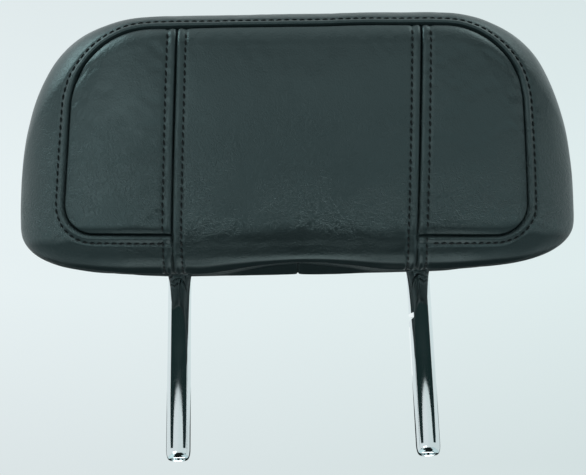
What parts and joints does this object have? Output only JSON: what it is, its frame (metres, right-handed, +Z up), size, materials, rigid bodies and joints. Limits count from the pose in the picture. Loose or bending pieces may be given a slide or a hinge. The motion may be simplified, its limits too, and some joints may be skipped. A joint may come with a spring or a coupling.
{
  "type": "car head restraint",
  "caption": "Wide leather-covered car head restraint: a padded, seamed cushion that leans forward on chromed steel posts notched for a height lock.",
  "frame": {"origin": "midway between the lower ends of the two posts, on the plane of those ends", "axes": "+X to the right of someone who looks at the front of the cushion, +Z up along the posts, and the front of the cushion faces -Y"},
  "size_m": [0.2846, 0.1173, 0.2185],
  "materials": {
    "posts": "bright chrome plate",
    "cover": "black leather with a fine grain and a soft sheen",
    "foam": "grey moulded foam, hidden under the cover",
    "core": "black moulded plastic, hidden in the foam",
    "screws": "zinc-plated steel, hidden in the core",
    "strips": "black extruded plastic"
  },
  "bodies": {
    "root": {"post_frame": "posts", "carrier_front": "core", "carrier_rear": "core", "carrier_screw_1": "screws", "carrier_screw_2": "screws", "carrier_screw_3": "screws", "carrier_screw_4": "screws", "foam_pad": "foam", "front_centre_panel": "cover", "front_left_panel": "cover", "front_right_panel": "cover", "side_band": "cover", "back_left_panel": "cover", "back_right_panel": "cover", "front_closure_strip": "strips", "rear_closure_strip": "strips"}
  },
  "joints": []
}
